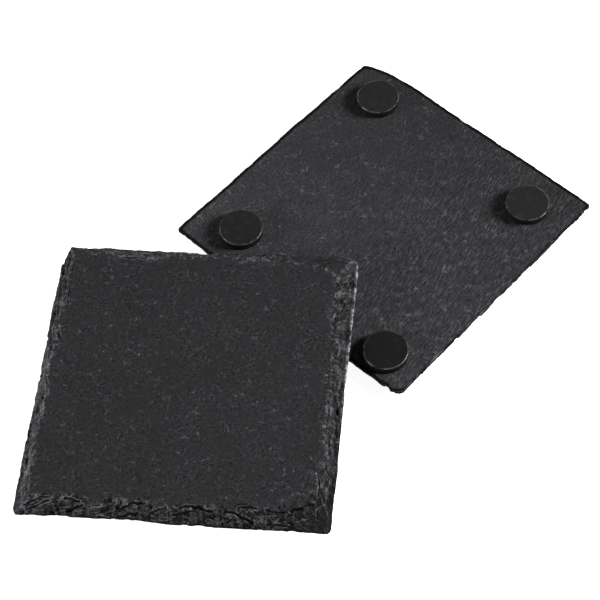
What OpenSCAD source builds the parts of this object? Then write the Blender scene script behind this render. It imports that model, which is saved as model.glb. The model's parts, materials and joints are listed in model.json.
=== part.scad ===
// A pair of square slate coasters on round foam feet.
// One lies upturned on the table, showing its feet. The other is the right way up and leans on it:
// its front left foot stands on the table and its rear right foot on the upturned slate.
// Each slate is split flat top and bottom, and its edges are chipped away from the top face, so the
// underside is the larger face and a ragged, ledged slope runs all round the top one.

/* [Slates] */
// Side of each slate, over its underside, which is the larger face
slate_side = 100; // [90:1:120]
// Thickness of each slate
slate_t = 4.5; // [4:0.1:6]
// Thickness of the rim that the chipping leaves at the outline
rim_t = 0.9; // [0.5:0.05:1.4]
// How far the outline of a slate wanders from straight
outline_wave = 0.22; // [0:0.02:0.4]

/* [Chipped edges] */
// Reach of the chipping at the front edge of the face-up slate
front_chip = 5.4; // [3:0.1:7]
// Reach of the chipping at the right edge of the face-up slate
right_chip = 6.2; // [3:0.1:8]
// Reach of the chipping at the rear edge of the face-up slate
rear_chip = 5.4; // [3:0.1:7]
// Reach of the chipping at the left edge of the face-up slate
left_chip = 5.2; // [3:0.1:7]
// Reach of the chipping all round the upturned slate
upturned_chip = 5.5; // [3:0.1:7]
// Reach of the large flake off the face-up slate's front right corner
flake_reach = 12; // [7:0.5:14]
// Half the width of that flake
flake_half_w = 13; // [8:0.5:16]
// Distance from one chip to the next along an edge
chip_pitch = 8; // [5:0.5:12]
// Run of the steep riser between two ledges
riser_run = 0.3; // [0.1:0.05:0.5]
// Number of ledges between the rim and the top face
ledges = 3; // [2:1:4]

/* [Broken corners] */
// Face-up slate, front left: size of the break along X and Y
upright_front_left_break = [0.7, 0.9]; // [0.3:0.1:12]
// Face-up slate, front right
upright_front_right_break = [1.4, 1.5]; // [0.3:0.1:12]
// Face-up slate, rear right
upright_rear_right_break = [2.6, 3.2]; // [0.3:0.1:12]
// Face-up slate, rear left
upright_rear_left_break = [3.6, 8.2]; // [0.3:0.1:12]
// Upturned slate, at its rear corner
upturned_rear_break = [18, 4.4]; // [0.3:0.1:20]
// Upturned slate, at its left corner
upturned_left_break = [1, 0.8]; // [0.3:0.1:12]
// Upturned slate, at its right corner
upturned_right_break = [1.4, 1.2]; // [0.3:0.1:12]
// Upturned slate, at its front corner
upturned_front_break = [3, 2.8]; // [0.3:0.1:12]
// Depth of the small nicks beside the upturned slate's right and front corners
nick_depth = 0.7; // [0:0.1:1.5]
// Half the length of those nicks
nick_half_l = 1.2; // [0.8:0.1:3]
// Distance from the right corner to the middle of its nick
right_nick_place = 2.4; // [2:0.1:8]
// Distance from the front corner to the middle of its nick
front_nick_place = 4.9; // [2:0.1:8]

/* [Feet] */
// Diameter of a foam foot
foot_d = 15; // [10:0.5:18]
// Thickness of a foam foot
foot_t = 3; // [2:0.1:4]
// Rounding of the rim of a foot, on the face that it stands on
foot_rim_r = 0.35; // [0.1:0.05:0.8]
// Distance from the edges of the slate to the middle of a foot
foot_inset = 14.5; // [12:0.5:17]
// Thickness of the adhesive disc between a foot and the slate
adhesive_t = 0.2; // [0.1:0.05:0.4]
// How far the adhesive disc stays inside the foot's edge
adhesive_set_in = 0.3; // [0.1:0.1:1]

/* [Pair] */
// Turn of the upturned coaster against the face-up one
upturned_turn = -36.5; // [-40:0.5:-33]
// Distance from the upturned slate's edge to the middle of the foot that stands on it
seat_inset = 9.4; // [9:0.1:14]
// Gap under the foot that stands on the upturned slate
seat_gap = 0.1; // [0.05:0.05:0.3]

/* [Hidden] */
$fn = 96;

half = slate_side / 2;
// How far a cut runs past what it cuts
overrun = slate_t / 4;
// Height of a slate's underside over the plane that its feet stand on
stand_h = foot_t + adhesive_t;

// Corners and edges are counted the way the numbers here say, seen from the top face
front_left = 0;
front_right = 1;
rear_right = 2;
rear_left = 3;
corner_signs = [[-1, -1], [1, -1], [1, 1], [-1, 1]];

// Where each foot is stuck beside its true place, as shares of its diameter: they are put on by hand
upright_foot_shares = [[0.03, 0.03], [-0.04, 0.05], [0.02, 0.02], [0.06, -0.03]];
upturned_foot_shares = [[0.05, -0.07], [-0.09, 0.05], [0.07, 0.36], [0.21, 0.06]];
// Where along the upturned slate's near edge the other coaster's foot stands
seat_share = 0.546;

// Points along one edge, and how much closer together they lie at its ends
edge_n = 64;
crowd_share = 0.45;
// Least and greatest width, reach and rim of a chip, as shares of the pitch, the reach and rim_t
chip_width_shares = [0.6, 1.15];
chip_reach_shares = [0.78, 1.14];
chip_rim_shares = [0.7, 1.3];
// The slope that runs behind all the chips, as a share of their reach
slope_share = 0.6;
// Rise of a chip's floor at its half width, as a share of the height that it climbs
chip_rise_share = 0.5;
// How hollow a chip is: 1 is a flat slope, less is steeper at its foot
chip_power = 0.85;
// Long and short waves in the outline, in waves along an edge, and the share that each has
wave_counts = [1.6, 4.3];
wave_shares = [0.55, 0.35, 0.5];
// How much the height of the rim varies from point to point
rim_jag_share = 0.25;
// How far the ledges are stepped, from a smooth slope to a full tread and riser
ledge_shares = [0.15, 0.85];
ledge_waves = 5;
// Squareness of a broken corner: 1 is a straight cut, 2 a round
break_power = 1.6;

// A point turned k quarter turns anticlockwise
function quarter(p, k) =
    k == 0 ? p : k == 1 ? [-p.y, p.x] : k == 2 ? [-p.x, -p.y] : [p.y, -p.x];

// Place of point j along an edge, from 0 to 1
function along(j) = j / edge_n - crowd_share * sin(360 * j / edge_n) / (2 * PI);

// The chips along one edge, each [middle, half width, reach, rim]
function chips(reach, seed) =
    let (
        n = round(slate_side / chip_pitch),
        w = slate_side / n,
        places = rands(0, 1, n, seed),
        widths = rands(chip_width_shares[0], chip_width_shares[1], n, seed + 1),
        reaches = rands(chip_reach_shares[0], chip_reach_shares[1], n, seed + 2),
        rims = rands(chip_rim_shares[0], chip_rim_shares[1], n, seed + 3)
    )
    [for (k = [0 : n - 1]) [(k + places[k]) * w, widths[k] * w, reaches[k] * reach, rims[k] * rim_t]];

// How far one chip has eaten in at height z, s along its edge
function chip_inset(chip, s, z) =
    let (
        climb = slate_t - chip[3],
        floor_z = chip[3] + climb * chip_rise_share * pow((s - chip[0]) / chip[1], 2),
        share = (z - floor_z) / climb
    )
    share <= 0 ? 0 : chip[2] * pow(share, chip_power);

// How far the deepest chip, or the slope behind them, has eaten in
function inset(edge, s, z) =
    let (slope = slope_share * edge[0] * pow((z - rim_t) / (slate_t - rim_t), chip_power))
    max([slope, for (chip = edge[1]) chip_inset(chip, s, z)]);

// How far the outline lies inside the straight edge
function wander(edge, j) =
    let (
        a = along(j),
        s = a * slate_side,
        long = sin(360 * (wave_counts[0] * a + edge[2][0])),
        short = sin(360 * (wave_counts[1] * a + edge[2][1])),
        nicks = [for (nick = edge[3]) nick_depth * (1 - pow((s - nick) / nick_half_l, 2))]
    )
    outline_wave * (wave_shares[0] * long + wave_shares[1] * short + wave_shares[2] * edge[4][j])
    + max(concat([0], nicks));

// An edge: [reach, chips, phases of its waves, places of its nicks, a random number for each point]
function edge(reach, seed, more_chips = [], nicks = []) =
    [
        reach,
        concat(chips(reach, seed), more_chips),
        rands(0, 1, 3, seed + 4),
        nicks,
        rands(-1, 1, edge_n + 1, seed + 5)
    ];

// A ring of points round the slate from the insets at the points of its four edges
function ring(insets, run, heights) =
    [
        for (k = [0 : 3], j = [0 : edge_n - 1])
        let (
            before = insets[(k + 3) % 4][edge_n] + run,
            after = insets[(k + 1) % 4][0] + run,
            x = before - half + along(j) * (slate_side - before - after),
            p = quarter([x, insets[k][j] + run - half], k)
        )
        [p.x, p.y, heights[k][j]]
    ];

// Pulls a point that lies outside its broken corner in to the break
function broken(p, breaks) =
    let (
        k = p.x < 0 ? (p.y < 0 ? front_left : rear_left) : (p.y < 0 ? front_right : rear_right),
        size = breaks[k],
        u = (abs(p.x) - half + size.x) / size.x,
        v = (abs(p.y) - half + size.y) / size.y
    )
    u <= 0 || v <= 0 ? p :
    let (m = pow(pow(u, break_power) + pow(v, break_power), 1 / break_power))
    m <= 1 ? p :
    [
        corner_signs[k].x * (half + size.x * (u / m - 1)),
        corner_signs[k].y * (half + size.y * (v / m - 1)),
        p.z
    ];

// Height of ledge number k, from the rim to the top face
function ledge_z(k) = rim_t + (slate_t - rim_t) * k / ledges;

// How fully ledge number k is stepped at point j of an edge
function stepped(edge, k, j) =
    let (wave = sin(360 * (ledge_waves * along(j) + edge[2][2] + k / ledges)))
    ledge_shares[0] + (ledge_shares[1] - ledge_shares[0]) * (1 + wave) / 2;

// All rings of a slate from below its underside to above its top face
function slate_rings(edges) =
    let (
        points = [0 : edge_n],
        outline = [for (e = edges) [for (j = points) wander(e, j)]],
        flat = [for (e = edges) [for (j = points) -overrun]],
        rim = [for (e = edges) [for (j = points) rim_t * (1 + rim_jag_share * e[4][j])]],
        reach = [
            for (k = [1 : ledges])
            [for (e = edges) [for (j = points) inset(e, along(j) * slate_side, ledge_z(k))]]
        ],
        tread = [
            for (k = [1 : ledges])
            [
                for (e = edges)
                [for (j = points) ledge_z(k) - stepped(e, k, j) * (ledge_z(k) - ledge_z(k - 1))]
            ]
        ],
        riser = [
            for (k = [1 : ledges])
            [for (e = edges) [for (j = points) ledge_z(k) + (k == ledges ? overrun : 0)]]
        ]
    )
    concat(
        [ring(outline, 0, flat), ring(outline, 0, rim)],
        [
            for (k = [0 : ledges - 1], top = [0, 1])
            ring(reach[k], top * riser_run, top == 1 ? riser[k] : tread[k])
        ]
    );

upright_edges = [
    edge(front_chip, 11, [[slate_side - rim_t, flake_half_w, flake_reach, rim_t]]),
    edge(right_chip, 23),
    edge(rear_chip, 37),
    edge(left_chip, 41)
];
upright_breaks = [
    upright_front_left_break, upright_front_right_break,
    upright_rear_right_break, upright_rear_left_break
];
upturned_edges = [
    edge(upturned_chip, 53),
    edge(upturned_chip, 61, nicks = [right_nick_place]),
    edge(upturned_chip, 79, nicks = [front_nick_place]),
    edge(upturned_chip, 83)
];
// Upturned, the slate's own front left corner points to the rear
upturned_breaks = [
    upturned_rear_break, upturned_right_break, upturned_front_break, upturned_left_break
];
upright_rings = [for (r = slate_rings(upright_edges)) [for (p = r) broken(p, upright_breaks)]];
upturned_rings = [for (r = slate_rings(upturned_edges)) [for (p = r) broken(p, upturned_breaks)]];

// Middle of foot k on a slate seen from its top face
function foot_place(k, shares) = (half - foot_inset) * corner_signs[k] + foot_d * shares[k];

// The lean: the coaster stands on the outer rim of its front left foot and the inner rim of its
// rear right one, and neither of the other two feet touches
diagonal = [1, 1] / sqrt(2);
low_foot = foot_place(front_left, upright_foot_shares);
high_foot = foot_place(rear_right, upright_foot_shares);
lean = asin((slate_t + seat_gap) / ((high_foot - low_foot) * diagonal));
lean_axis = [diagonal.x, -diagonal.y, 0];
// Height of the feet's plane in the middle of the coaster
low_rim = foot_d / 2 - foot_rim_r - low_foot * diagonal;
lean_h = low_rim * sin(lean) + foot_rim_r * (1 - cos(lean));

// A point of the leaning coaster, from its own frame
function leaned(p) =
    let (
        s = [p.x, p.y] * diagonal,
        across = [p.x, p.y] - s * diagonal,
        foot = (s * cos(lean) - p.z * sin(lean)) * diagonal + across
    )
    [foot.x, foot.y, s * sin(lean) + p.z * cos(lean) + lean_h];

// Middle of the upturned slate, from where the leaning foot stands on it
seat = leaned([high_foot.x, high_foot.y, 0]);
seat_on_slate = [(seat_share - 0.5) * slate_side, seat_inset - half];
function turned(p) =
    [
        p.x * cos(upturned_turn) - p.y * sin(upturned_turn),
        p.x * sin(upturned_turn) + p.y * cos(upturned_turn)
    ];
upturned_centre = [seat.x, seat.y] - turned(seat_on_slate);

// The pair's origin is the middle of the box round both coasters, on the table
outline_places = concat(
    [for (k = [0, 1], p = upright_rings[k]) leaned([p.x, p.y, stand_h + max(p.z, 0)])],
    [for (p = upturned_rings[0]) upturned_centre + turned([p.x, -p.y])]
);
xs = [for (p = outline_places) p.x];
ys = [for (p = outline_places) p.y];
origin = [(min(xs) + max(xs)) / 2, (min(ys) + max(ys)) / 2];

// A slate in its own frame: underside at zero, top face up
module slate(rings) {
    n = 4 * edge_n;
    rows = len(rings);
    middle = [[0, 0, -overrun], [0, 0, slate_t + overrun]];
    points = concat([for (r = rings) each r], middle);
    sides = [
        for (k = [0 : rows - 2], i = [0 : n - 1])
        let (a = k * n + i, b = k * n + (i + 1) % n)
        each [[a, a + n, b + n], [a, b + n, b]]
    ];
    top_row = (rows - 1) * n;
    caps = [
        for (i = [0 : n - 1])
        let (next = (i + 1) % n)
        each [[rows * n, i, next], [rows * n + 1, top_row + next, top_row + i]]
    ];
    // The chipped block is split along two flat cleavage planes
    intersection() {
        polyhedron(points, concat(sides, caps));
        translate([-slate_side, -slate_side, 0]) cube([2 * slate_side, 2 * slate_side, slate_t]);
    }
}

// A foam foot in its own frame: glued face up, standing on zero
module foot() {
    r = foot_d / 2;
    rotate_extrude() {
        square([r - foot_rim_r, foot_t]);
        translate([0, foot_rim_r]) square([r, foot_t - foot_rim_r]);
        translate([r - foot_rim_r, foot_rim_r]) circle(foot_rim_r);
    }
}

// The adhesive disc over a foot
module adhesive() {
    translate([0, 0, foot_t]) cylinder(h = adhesive_t, d = foot_d - 2 * adhesive_set_in);
}

// Puts a piece of the face-up coaster in its place, from a frame with its feet on zero
module on_upright() {
    translate([-origin.x, -origin.y, lean_h]) rotate(a = lean, v = lean_axis) children();
}

// Puts a piece of the upturned coaster in its place, from a frame with its feet on zero
module on_upturned() {
    translate([upturned_centre.x - origin.x, upturned_centre.y - origin.y, stand_h + slate_t])
        rotate([0, 0, upturned_turn]) rotate([180, 0, 0]) children();
}

module at_foot(k, shares) {
    place = foot_place(k, shares);
    translate([place.x, place.y, 0]) children();
}

module upright_slate() {
    color([0.19, 0.19, 0.2]) on_upright() translate([0, 0, stand_h]) slate(upright_rings);
}

module upright_foot(k) {
    color([0.13, 0.13, 0.13]) on_upright() at_foot(k, upright_foot_shares) foot();
}

module upright_adhesive(k) {
    color([0.55, 0.55, 0.5]) on_upright() at_foot(k, upright_foot_shares) adhesive();
}

module upturned_slate() {
    color([0.23, 0.23, 0.24]) on_upturned() translate([0, 0, stand_h]) slate(upturned_rings);
}

module upturned_foot(k) {
    color([0.13, 0.13, 0.13]) on_upturned() at_foot(k, upturned_foot_shares) foot();
}

module upturned_adhesive(k) {
    color([0.55, 0.55, 0.5]) on_upturned() at_foot(k, upturned_foot_shares) adhesive();
}

upright_slate();
upright_foot(front_left);  // upright_foot_front_left
upright_foot(front_right);  // upright_foot_front_right
upright_foot(rear_right);  // upright_foot_rear_right
upright_foot(rear_left);  // upright_foot_rear_left
upright_adhesive(front_left);  // upright_adhesive_front_left
upright_adhesive(front_right);  // upright_adhesive_front_right
upright_adhesive(rear_right);  // upright_adhesive_rear_right
upright_adhesive(rear_left);  // upright_adhesive_rear_left
upturned_slate();
upturned_foot(front_left);  // upturned_foot_rear
upturned_foot(front_right);  // upturned_foot_right
upturned_foot(rear_right);  // upturned_foot_front
upturned_foot(rear_left);  // upturned_foot_left
upturned_adhesive(front_left);  // upturned_adhesive_rear
upturned_adhesive(front_right);  // upturned_adhesive_right
upturned_adhesive(rear_right);  // upturned_adhesive_front
upturned_adhesive(rear_left);  // upturned_adhesive_left
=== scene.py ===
# %% [markdown]
# # A pair of slate coasters
#
# One slate coaster lies the right way up and leans on a second one, which is turned over, so that
# its foam feet show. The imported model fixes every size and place. Here each slate gets the stone's
# real surface, each foot its foam, and all of them their finishes.

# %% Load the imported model
import json
import math

import bpy
import numpy as np
from mathutils import Matrix, Vector
from mathutils.bvhtree import BVHTree
from mathutils.kdtree import KDTree


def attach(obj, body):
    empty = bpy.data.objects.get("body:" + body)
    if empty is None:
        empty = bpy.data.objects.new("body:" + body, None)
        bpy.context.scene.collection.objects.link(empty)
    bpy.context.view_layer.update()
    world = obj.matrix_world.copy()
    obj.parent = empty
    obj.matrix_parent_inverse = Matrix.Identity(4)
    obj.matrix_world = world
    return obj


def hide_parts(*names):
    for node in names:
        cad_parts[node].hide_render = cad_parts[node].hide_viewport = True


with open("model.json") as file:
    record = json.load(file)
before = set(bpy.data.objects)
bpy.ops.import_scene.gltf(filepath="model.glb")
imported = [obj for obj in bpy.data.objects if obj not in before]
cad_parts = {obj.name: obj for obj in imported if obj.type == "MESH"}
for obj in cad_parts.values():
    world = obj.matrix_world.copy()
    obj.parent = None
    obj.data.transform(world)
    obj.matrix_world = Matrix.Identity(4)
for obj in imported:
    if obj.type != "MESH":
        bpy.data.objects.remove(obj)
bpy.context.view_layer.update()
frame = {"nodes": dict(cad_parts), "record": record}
mounts = {m["name"]: m for m in frame["record"]["mounts"]}
MM = 0.001

# %% [markdown]
# ## The camera
#
# The photograph looks down at the pair with a long lens, and the picture is turned by a few
# degrees. A camera can be pointed with a constraint, but a roll is easier to give as a matrix: the
# three columns are the picture's right, its up and the way back from the object.

# %% Camera
CAMERA_AZIMUTH = math.radians(9.68)
CAMERA_ELEVATION = math.radians(56.66)
CAMERA_ROLL = math.radians(-4.30)
CAMERA_DISTANCE = 0.6245
TARGET_FROM_REST = (0.03105, 0.03853)
FOCAL_PIXELS = 1869
PICTURE_SIDE = 600
SENSOR = 36


def placed(name, data):
    """A new object in the scene."""
    thing = bpy.data.objects.new(name, data)
    bpy.context.scene.collection.objects.link(thing)
    return thing


away = Vector((
    math.sin(CAMERA_AZIMUTH) * math.cos(CAMERA_ELEVATION),
    -math.cos(CAMERA_AZIMUTH) * math.cos(CAMERA_ELEVATION),
    math.sin(CAMERA_ELEVATION),
))
level = Vector((0, 0, 1)).cross(away).normalized()
rise = away.cross(level)
right = math.cos(CAMERA_ROLL) * level + math.sin(CAMERA_ROLL) * rise
up = -math.sin(CAMERA_ROLL) * level + math.cos(CAMERA_ROLL) * rise
rest_x, rest_y, _ = mounts["glass_rest"]["pos_m"]
target = Vector((rest_x + TARGET_FROM_REST[0], rest_y + TARGET_FROM_REST[1], 0))
turn = Matrix((right, up, away)).transposed().to_4x4()

camera = placed("camera", bpy.data.cameras.new("camera"))
camera.matrix_world = Matrix.Translation(target + away * CAMERA_DISTANCE) @ turn
camera.data.sensor_width = SENSOR
camera.data.lens = FOCAL_PIXELS / PICTURE_SIDE * SENSOR
camera.data.clip_start = 0.01
bpy.context.scene.camera = camera
print("lens", round(camera.data.lens, 1), "mm")

# %% [markdown]
# ## A frame for each slate
#
# Stone detail is easier to lay out on a slate that lies flat: underside at zero, top face up, edges
# along X and Y, in millimetres. Each slate therefore gets a matrix from that flat frame to its
# place in the pair. The leaning one comes from the mount where a glass stands, the upturned one
# from the mount where it lies on the table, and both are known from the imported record.

# %% Slate frames
SLATE_SIDE = 100
SLATE_T = 4.5
HALF = SLATE_SIDE / 2
UPTURNED_TURN = math.radians(-36.5)

drop = Matrix.Translation((0, 0, -SLATE_T))
size = Matrix.Scale(MM, 4)
rest, face = mounts["glass_rest"], mounts["table_face"]
lean = Vector((0, 0, 1)).rotation_difference(Vector(rest["axis"])).to_matrix().to_4x4()
flip = Matrix.Rotation(UPTURNED_TURN, 4, "Z") @ Matrix.Rotation(math.pi, 4, "X")
slate_frames = {
    "upright": Matrix.Translation(rest["pos_m"]) @ lean @ size @ drop,
    "upturned": Matrix.Translation(face["pos_m"]) @ flip @ size @ drop,
}


def flat_points(node, side):
    """A node's vertices in the flat frame of its slate."""
    inverse = slate_frames[side].inverted()
    return np.array([inverse @ v.co for v in frame["nodes"][node].data.vertices])


for side in slate_frames:
    points = flat_points(side + "_slate", side)
    print(side, "slate in its frame", points.min(0).round(2), points.max(0).round(2))

# %% [markdown]
# ## Noise to shape stone with
#
# Stone is random at every size, but the same each time the script runs. A table of random numbers
# on a square lattice, smoothly filled in between, gives that. Octaves, each half the size and half
# the strength of the last, add the finer grain. The same smooth step serves wherever one thing
# fades into another.

# %% Lattice noise
TABLE_SIDE = 256


def smooth(x):
    x = np.clip(x, 0, 1)
    return x * x * (3 - 2 * x)


def between(x, low, high):
    """0 at low, 1 at high, and a smooth change between the two. Low may be the greater."""
    return smooth((x - low) / (high - low))


def lattice(x, y, cell, seed):
    """Noise from -1 to 1 with lumps about one cell wide."""
    table = np.random.default_rng(seed).random((TABLE_SIDE, TABLE_SIDE))
    u, v = x / cell, y / cell
    i, j = np.floor(u).astype(int), np.floor(v).astype(int)
    f, g = smooth(u - i), smooth(v - j)
    i, j = i % TABLE_SIDE, j % TABLE_SIDE
    k, m = (i + 1) % TABLE_SIDE, (j + 1) % TABLE_SIDE
    low = table[i, j] * (1 - f) + table[k, j] * f
    high = table[i, m] * (1 - f) + table[k, m] * f
    return 2 * (low * (1 - g) + high * g) - 1


def octaves(x, y, cell, seed, count=3):
    total = sum(lattice(x, y, cell / 2**k, seed + k) / 2**k for k in range(count))
    return total / sum(0.5**k for k in range(count))


print("noise at the middle", round(float(lattice(np.zeros(1), np.zeros(1), 1, 1)[0]), 3))

# %% [markdown]
# ## The grid that becomes a slate
#
# A slate needs small faces where it is chipped and large ones where it is flat. Square rings do
# that: many close rings at the edge, each with the same number of points, then rings that halve
# the count, then a plain grid in the middle.

# %% Square rings
EDGE_CELLS = 280


def square_ring(radius, cells):
    """Points round the square from -radius to radius, from its front left corner."""
    a = np.linspace(-1, 1, cells, endpoint=False)
    one = np.ones(cells)
    u = np.concatenate([a, one, -a, -one])
    v = np.concatenate([-one, a, one, -a])
    return np.stack([u, v], 1) * radius


def ring_faces(outer, inner, cells, inner_cells):
    """Faces between two rings, whose first points have the numbers outer and inner."""
    n = 4 * cells
    if cells == inner_cells:
        return [
            (outer + i, outer + (i + 1) % n, inner + (i + 1) % n, inner + i)
            for i in range(n)
        ]
    faces = []
    for i in range(n // 2):
        a, b, c = outer + 2 * i, outer + 2 * i + 1, outer + (2 * i + 2) % n
        d, e = inner + i, inner + (i + 1) % (n // 2)
        faces += [(a, b, d), (b, e, d), (b, c, e)]
    return faces


def middle_grid(first_ring, first_new, cells, radius):
    """The points inside a ring of that many cells, and the faces that fill it."""
    a = np.linspace(-1, 1, cells + 1)
    number = np.zeros((cells + 1, cells + 1), int)
    for i in range(cells):
        number[i, 0] = first_ring + i
        number[cells, i] = first_ring + cells + i
        number[cells - i, cells] = first_ring + 2 * cells + i
        number[0, cells - i] = first_ring + 3 * cells + i
    inside = [(i, j) for i in range(1, cells) for j in range(1, cells)]
    for count, (i, j) in enumerate(inside):
        number[i, j] = first_new + count
    points = np.array([(a[i], a[j]) for i, j in inside]) * radius
    faces = [
        (number[i, j], number[i + 1, j], number[i + 1, j + 1], number[i, j + 1])
        for i in range(cells)
        for j in range(cells)
    ]
    return points, faces


print("points on the outline", len(square_ring(1, EDGE_CELLS)))

# %% [markdown]
# ### The two sheets
#
# The top is chipped as far as a centimetre in, so it has dozens of close rings. The underside is
# broken only at its rim, and a few rings are enough there.

# %% Sheets
FINE_STEP, FINE_REACH = 0.3, 7.5
WIDE_STEP, WIDE_REACH = 0.5, 13.0
UNDER_REACHES = [0.2, 0.4, 0.65, 0.95, 1.4]


def sheet_of(reaches, middle_cells):
    """A square sheet of rings and a grid, as points from -1 to 1 and faces seen from above."""
    cells = EDGE_CELLS
    points, faces, start = [square_ring(1, cells)], [], 0
    for reach in reaches:
        points.append(square_ring(1 - reach / HALF, cells))
        faces += ring_faces(start, start + 4 * cells, cells, cells)
        start += 4 * cells
    reach = reaches[-1]
    while cells > middle_cells:
        reach += SLATE_SIDE / cells
        points.append(square_ring(1 - reach / HALF, cells // 2))
        faces += ring_faces(start, start + 4 * cells, cells, cells // 2)
        start += 4 * cells
        cells //= 2
    inside, filling = middle_grid(start, start + 4 * cells, cells, 1 - reach / HALF)
    return np.concatenate([*points, inside]), faces + filling


fine = list(np.arange(FINE_STEP, FINE_REACH, FINE_STEP))
wide = list(np.arange(FINE_REACH, WIDE_REACH, WIDE_STEP))
top_sheet = sheet_of(fine + wide, EDGE_CELLS // 4)
under_sheet = sheet_of(UNDER_REACHES, EDGE_CELLS // 2)
print("top sheet", len(top_sheet[0]), "points; underside", len(under_sheet[0]))

# %% [markdown]
# ## Places on a slate
#
# A chip or a worn spot is easiest to give by its edge: how far along it, and how far in. A value
# that belongs to an edge is blended round the corners, so that no seam shows there. The texture of
# broken stone runs along the edges, so its places are laid on a ring as long as the outline.

# %% Edge coordinates
EDGES = ("front", "right", "rear", "left")
CORNER_BLEND = 2.5
RING_R = 4 * SLATE_SIDE / (2 * math.pi)
TINY, NEARLY_ZERO = 1e-6, 1e-9


def per_edge(*values):
    """Values for the front, right, rear and left edge."""
    return dict(zip(EDGES, values))


def on_edge(places, edge):
    """Distance along an edge from its first corner, and distance in from it."""
    x, y = places.T
    along = {"front": x, "right": y, "rear": -x, "left": -y}[edge] + HALF
    inward = {"front": y, "right": -x, "rear": -y, "left": x}[edge] + HALF
    return along, inward


def least_inward(places):
    return np.min([on_edge(places, edge)[1] for edge in EDGES], 0)


def by_edge(places, values):
    """A value for each place from a value for each edge, blended round the corners."""
    near = {e: np.exp(-on_edge(places, e)[1] / CORNER_BLEND) for e in EDGES}
    return sum(values[e] * near[e] for e in EDGES) / sum(near.values())


def round_place(points):
    """Places on a ring as long as the outline, and distance in from the outline."""
    radius = np.maximum(np.abs(points[:, :2]).max(1), NEARLY_ZERO)
    u, v = (points[:, :2] / radius[:, None] * HALF).T
    edges = [v <= -HALF + TINY, u >= HALF - TINY, v >= HALF - TINY]
    along = np.select(edges, [u + HALF, v + 3 * HALF, 5 * HALF - u], 7 * HALF - v)
    angle = along / (4 * SLATE_SIDE) * 2 * math.pi
    inward = HALF - radius - points[:, 2]
    return np.column_stack([RING_R * np.cos(angle), RING_R * np.sin(angle), inward])


print("ring for the texture", round(RING_R, 1), "mm in radius")

# %% [markdown]
# ## The outline
#
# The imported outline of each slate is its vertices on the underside. Seen from the middle they are
# at one distance for each direction. Real slate also has small bites at its outline, where a crumb
# broke off, and they are drawn at random along it.

# %% Outline
ON_UNDERSIDE = 0.02
NIBBLES = 60
NIBBLE_HALF_LENGTHS = (0.7, 2.6)
NIBBLE_DEPTHS = (0.05, 0.5)
NIBBLE_POWER = 1.5


def outline_of(side):
    """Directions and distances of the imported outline, from the middle of the slate."""
    points = flat_points(side + "_slate", side)
    rim = points[points[:, 2] < ON_UNDERSIDE][:, :2]
    angle = np.arctan2(rim[:, 1], rim[:, 0])
    order = np.argsort(angle)
    return angle[order], np.hypot(rim[:, 0], rim[:, 1])[order]


def nibbled(edge, seed):
    """Depth of the small bites at points of an outline."""
    draw = np.random.default_rng(seed)
    depth = np.zeros(len(edge))
    for angle in draw.uniform(-math.pi, math.pi, NIBBLES):
        middle = edge[np.argmin(np.abs(np.arctan2(edge[:, 1], edge[:, 0]) - angle))]
        half_length = draw.uniform(*NIBBLE_HALF_LENGTHS)
        bite = draw.uniform(*NIBBLE_DEPTHS) ** NIBBLE_POWER
        share = np.hypot(*(edge - middle).T) / half_length
        depth = np.maximum(depth, bite * np.clip(1 - share**2, 0, 1))
    return depth


outlines = {side: outline_of(side) for side in slate_frames}
for side, (angle, far) in outlines.items():
    print(side, "outline", len(angle), "points, from", far.min().round(2), far.max().round(2))

# %% [markdown]
# ### A sheet pulled onto its outline
#
# A sheet's outer ring is pulled onto the outline, and its rings relax into true squares further in.
# The edge is ragged all along, and two edges of the face-up slate draw in a little towards the
# left. Like the bites, these only cut inwards, so that the slate never grows.

# %% Fitted sheets
JAG_CELLS = (3.1, 1.3, 0.6)
JAG_DEPTHS = (0.08, 0.1, 0.08)
RAGGEDNESS = {
    "upright": per_edge(1.15, 0.5, 1.5, 1.3),
    "upturned": per_edge(0.5, 1.0, 0.8, 0.2),
}
# Edge of the face-up slate, how far it draws in, and where along X that has ended
TRIMS = (("rear", 0.9, 12), ("front", 0.35, 5))
TRIM_RUN = 15
TRIM_REACH = (10, 2)
RELAX = 0.2
TOP_OUTLINE_SEEDS = {"upright": 100, "upturned": 150}


def fitted(side, sheet_points, outline, seed):
    """A sheet's points in millimetres, with its edge on the outline."""
    radius = np.abs(sheet_points).max(1)
    unit = sheet_points / np.maximum(radius, NEARLY_ZERO)[:, None]
    angle = np.arctan2(unit[:, 1], unit[:, 0])
    far = np.interp(angle, outline[0], outline[1], period=2 * math.pi)
    edge = far[:, None] * np.stack([np.cos(angle), np.sin(angle)], 1)
    jag = sum(
        depth * (lattice(edge[:, 0], edge[:, 1], cell, seed + k) + 1) / 2
        for k, (cell, depth) in enumerate(zip(JAG_CELLS, JAG_DEPTHS))
    )
    cut = (jag + nibbled(edge, seed + 9)) * by_edge(edge, RAGGEDNESS[side])
    for name, depth, end in TRIMS if side == "upright" else ():
        at_edge = between(on_edge(edge, name)[1], *TRIM_REACH)
        cut += depth * at_edge * between(edge[:, 0], end, end - TRIM_RUN)
    edge *= (1 - cut / far)[:, None]
    pull = smooth((radius - (1 - RELAX)) / RELAX)[:, None]
    return sheet_points * HALF + (edge - unit * HALF) * pull


top_places = {
    side: fitted(side, top_sheet[0], outlines[side], seed)
    for side, seed in TOP_OUTLINE_SEEDS.items()
}
print("half widths of the tops", [np.abs(p).max().round(2) for p in top_places.values()])

# %% [markdown]
# ## The chipped edge
#
# The edges of such a slate are chipped away from the top face down. The stone breaks along its
# layers, so the slope is a flight of thin, ragged ledges, with splits running in under some of
# them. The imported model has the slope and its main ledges. They are read from it by dropping a ray
# on it from above each point of the grid, and everything finer is then cut into the result: thin
# layers, splits, bites out of the top face's border, and grain.

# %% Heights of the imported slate
RAY_START = 20
RAY_INSET = 0.06


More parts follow.
